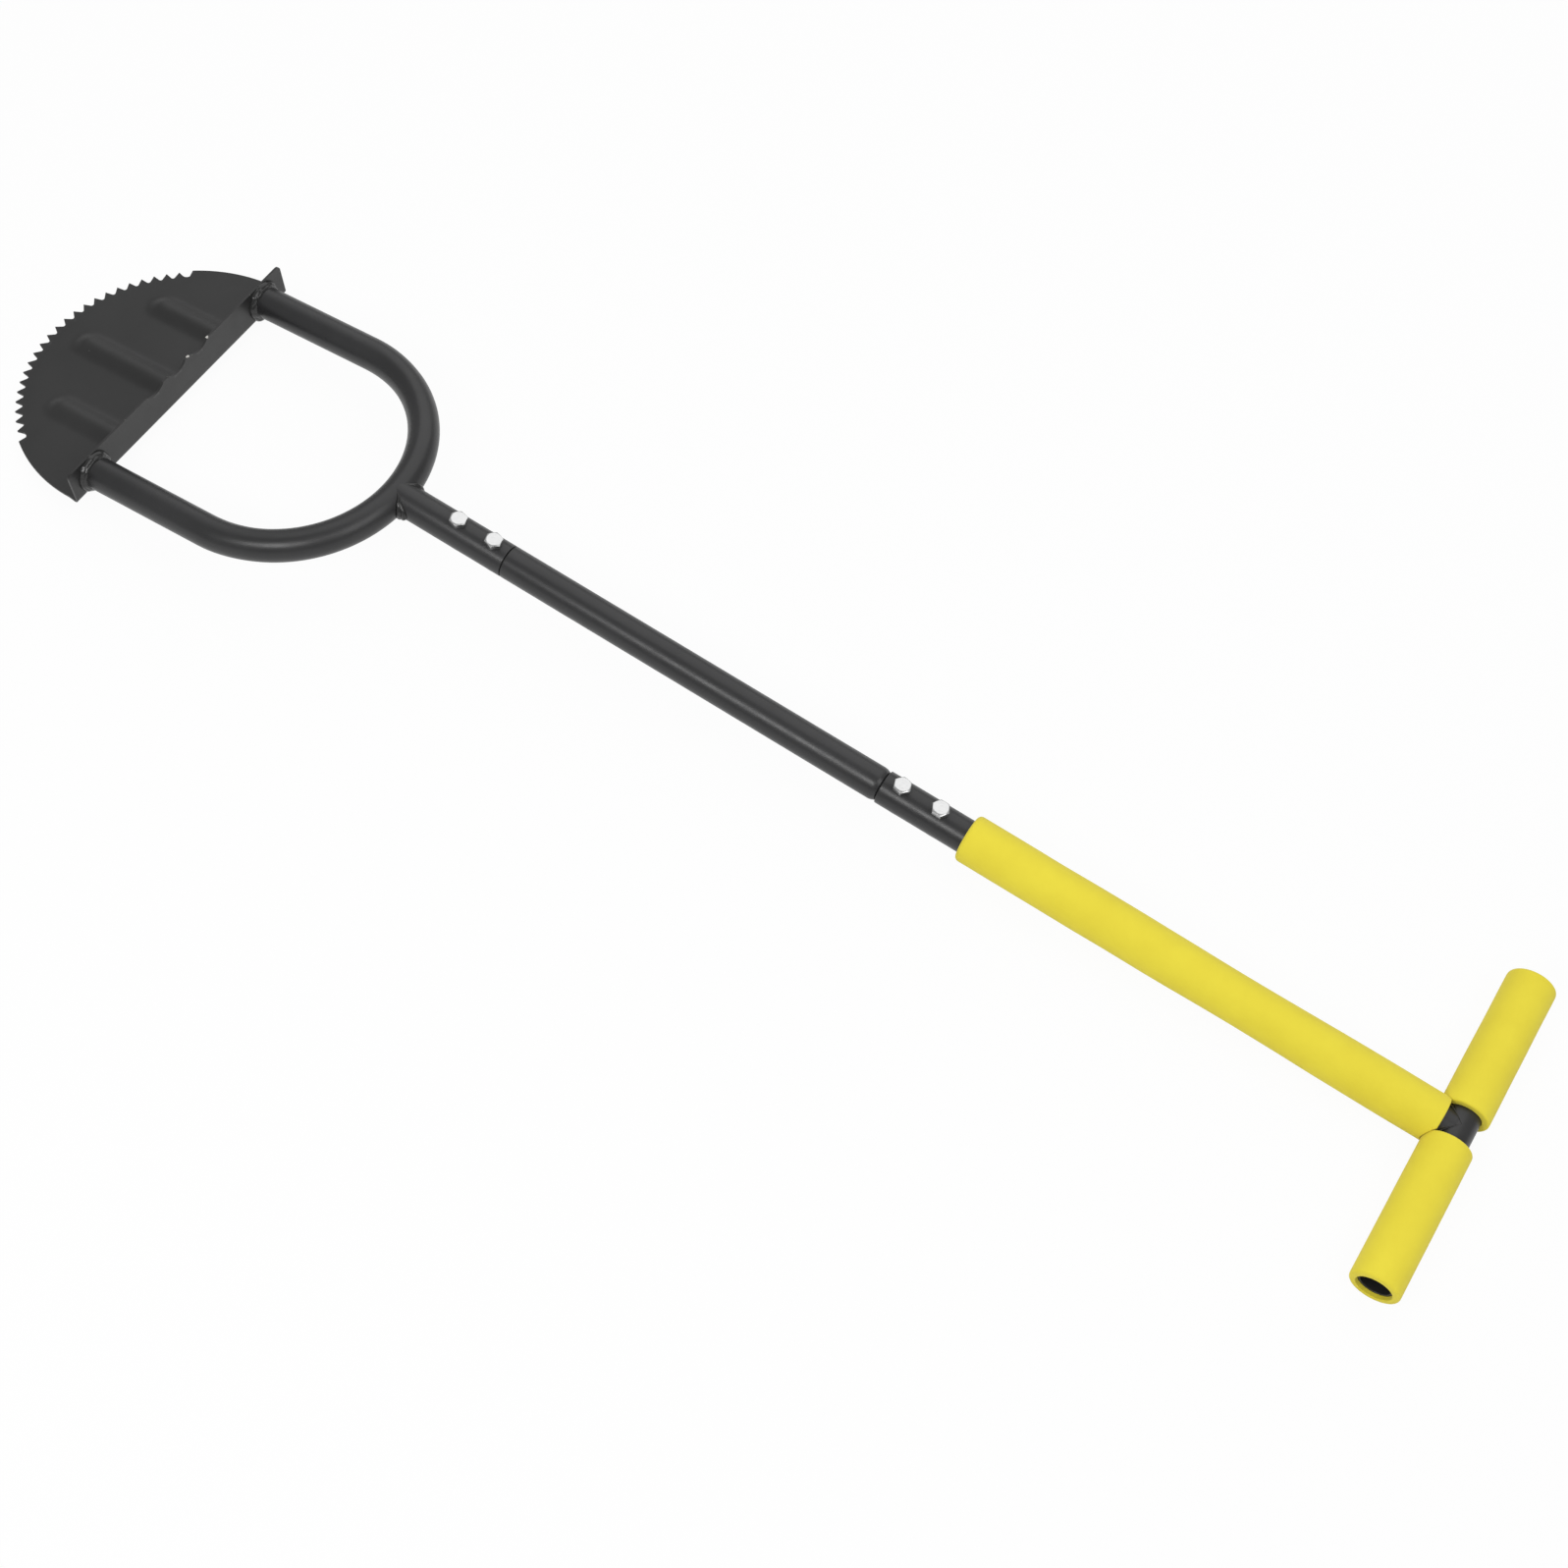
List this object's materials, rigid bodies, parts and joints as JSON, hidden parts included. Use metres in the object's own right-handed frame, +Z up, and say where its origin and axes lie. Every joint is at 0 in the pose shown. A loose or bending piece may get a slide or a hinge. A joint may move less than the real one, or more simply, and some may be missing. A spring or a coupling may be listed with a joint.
{
  "type": "half-moon lawn edger",
  "caption": "Half-moon lawn edger: saw-tooth turf blade with a folded step plate on a tubular bow, bolted three-piece handle and foam-covered cross grip.",
  "frame": {"origin": "centre of the bounding box in X and Y, on the ground that the tool lies on", "axes": "+X across the tool along the cross bar, +Y from the blade to the cross grips, +Z up with the tool lying on its blade's middle tooth and its cross grips"},
  "size_m": [0.216, 1.0198, 0.0523],
  "materials": {
    "black_powder_coat": "satin black powder coat on steel",
    "yellow_foam": "matte closed-cell foam",
    "zinc_plated_steel": "bright zinc plating"
  },
  "bodies": {
    "root": {"half_moon_blade": "black_powder_coat", "bow": "black_powder_coat", "left_arm_weld": "black_powder_coat", "right_arm_weld": "black_powder_coat", "neck_socket": "black_powder_coat", "neck_weld": "black_powder_coat", "middle_shaft": "black_powder_coat", "grip_shaft": "black_powder_coat", "cross_bar": "black_powder_coat", "cross_bar_weld": "black_powder_coat", "long_grip_sleeve": "yellow_foam", "left_grip_sleeve": "yellow_foam", "right_grip_sleeve": "yellow_foam", "lower_joint_bolt_1": "zinc_plated_steel", "lower_joint_nut_1": "zinc_plated_steel", "lower_joint_bolt_2": "zinc_plated_steel", "lower_joint_nut_2": "zinc_plated_steel", "upper_joint_bolt_1": "zinc_plated_steel", "upper_joint_nut_1": "zinc_plated_steel", "upper_joint_bolt_2": "zinc_plated_steel", "upper_joint_nut_2": "zinc_plated_steel"}
  },
  "joints": []
}
